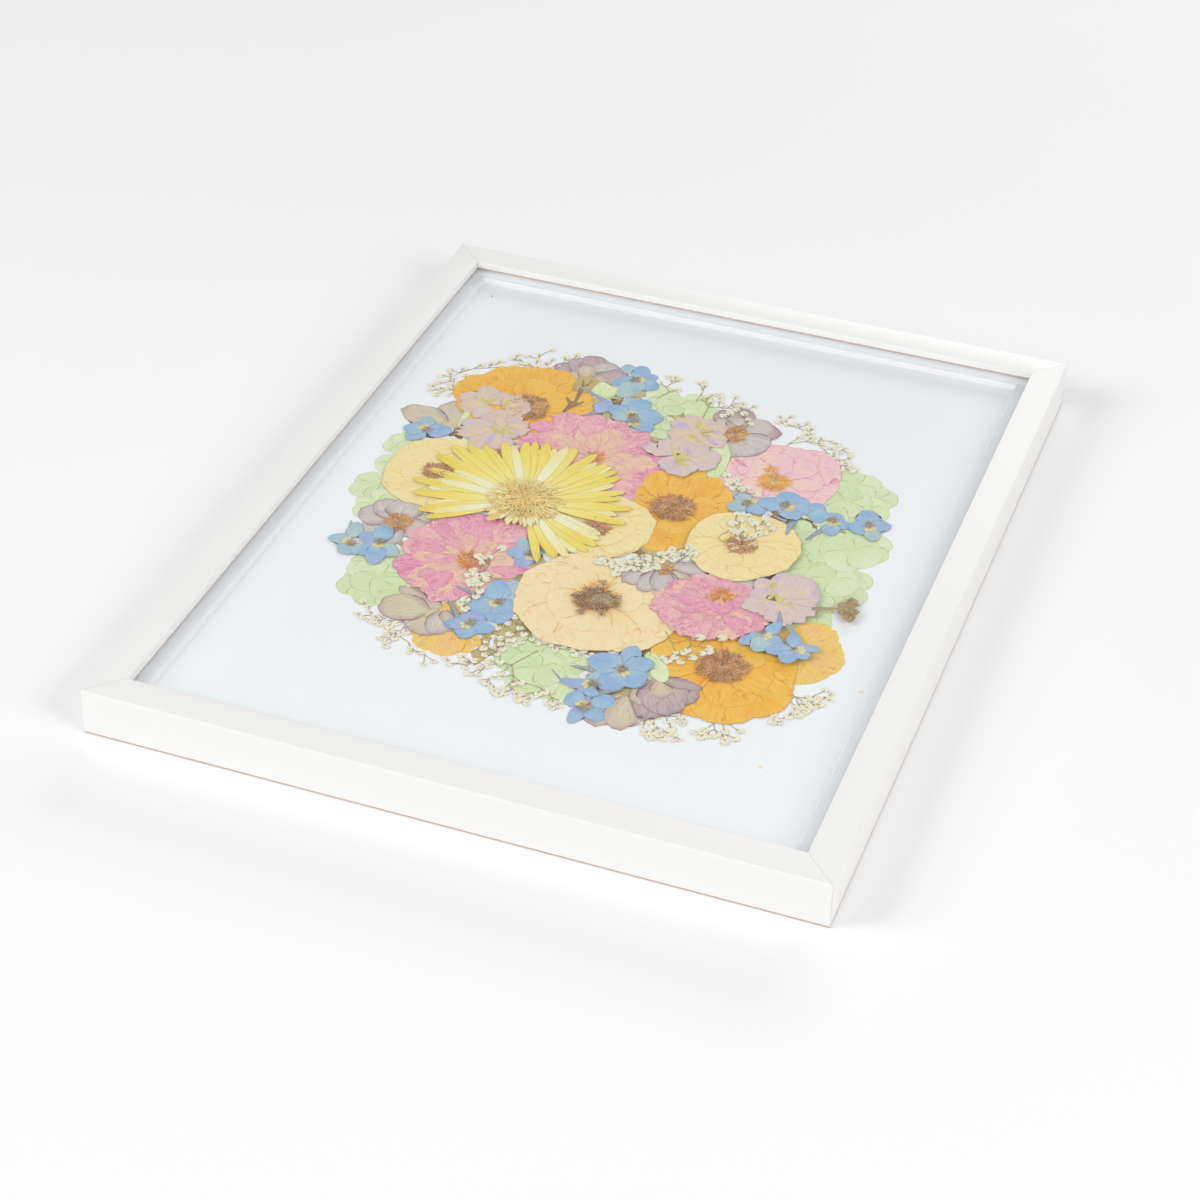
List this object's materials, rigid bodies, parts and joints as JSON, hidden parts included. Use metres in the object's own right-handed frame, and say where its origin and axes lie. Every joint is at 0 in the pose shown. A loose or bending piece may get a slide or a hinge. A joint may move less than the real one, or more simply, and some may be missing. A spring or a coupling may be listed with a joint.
{
  "type": "pressed flower frame",
  "caption": "White wooden photo frame on its back, holding a bouquet of pressed flowers on a white board behind glass, with a sawtooth hanger.",
  "frame": {"origin": "centre of the frame's footprint, on the surface that it rests on (the undersides of the rails)", "axes": "+Z out of the front of the frame, towards the viewer of the flowers; +Y along its long side, to its upper end when it hangs upright; +X to the right of someone who looks at its front with +Y up"},
  "size_m": [0.2942, 0.3704, 0.02],
  "materials": {
    "white_lacquer": "satin white lacquer on wood, with thin brown lines at the mitres",
    "glass": "clear float glass",
    "mat_board": "matt blue-white mat board with a white bevelled cut",
    "mount_board": "matt white board with a fine tooth",
    "hardboard": "brown pressed hardboard",
    "steel": "thin plated steel",
    "petal_yellow": "dried petal, yellow with cream streaks",
    "petal_orange": "dried petal, golden orange with fine veins",
    "petal_cream": "dried petal, cream with peach veins",
    "petal_pink": "dried petal, blotched magenta pink and peach",
    "petal_mauve": "dried petal, grey mauve with darker rims",
    "petal_lilac": "dried petal, lilac with yellow-green streaks",
    "petal_blue": "dried petal, sky blue, partly violet",
    "petal_green": "dried sepal, pale green, thin",
    "dried_brown": "dried brown seed head and stem"
  },
  "bodies": {
    "root": {"rail_bottom": "white_lacquer", "rail_right": "white_lacquer", "rail_top": "white_lacquer", "rail_left": "white_lacquer", "glass": "glass", "window_mat": "mat_board", "mount_board": "mount_board", "back_board": "hardboard", "tab_1": "steel", "tab_2": "steel", "tab_3": "steel", "tab_4": "steel", "tab_5": "steel", "tab_6": "steel", "hanger": "steel", "rivet_left": "steel", "rivet_right": "steel", "hydrangea_left": "petal_green", "hydrangea_lower_left": "petal_green", "hydrangea_lower": "petal_green", "hydrangea_upper_right": "petal_green", "hydrangea_right": "petal_green", "rose_mauve_1": "petal_mauve", "rose_mauve_2": "petal_mauve", "rose_mauve_3": "petal_mauve", "rose_mauve_4": "petal_mauve", "rose_mauve_5": "petal_mauve", "rose_mauve_6": "petal_mauve", "rose_mauve_7": "petal_mauve", "rose_mauve_8": "petal_mauve", "ranunculus_orange_1": "petal_orange", "ranunculus_orange_2": "petal_orange", "ranunculus_orange_3": "petal_orange", "ranunculus_orange_4": "petal_orange", "ranunculus_orange_5": "petal_orange", "rose_pink_1": "petal_pink", "rose_pink_2": "petal_pink", "rose_pink_3": "petal_pink", "rose_pink_4": "petal_pink", "ranunculus_cream_1": "petal_cream", "ranunculus_cream_2": "petal_cream", "ranunculus_cream_3": "petal_cream", "ranunculus_cream_4": "petal_cream", "viola_1": "petal_lilac", "viola_2": "petal_lilac", "viola_3": "petal_lilac", "viola_4": "petal_lilac", "viola_5": "petal_lilac", "delphinium_1": "petal_blue", "delphinium_2": "petal_blue", "delphinium_3": "petal_blue", "delphinium_4": "petal_blue", "delphinium_5": "petal_blue", "delphinium_6": "petal_blue", "delphinium_7": "petal_blue", "delphinium_8": "petal_blue", "delphinium_9": "petal_blue", "delphinium_10": "petal_blue", "brown_bud": "dried_brown", "gerbera": "petal_yellow"}
  },
  "joints": []
}
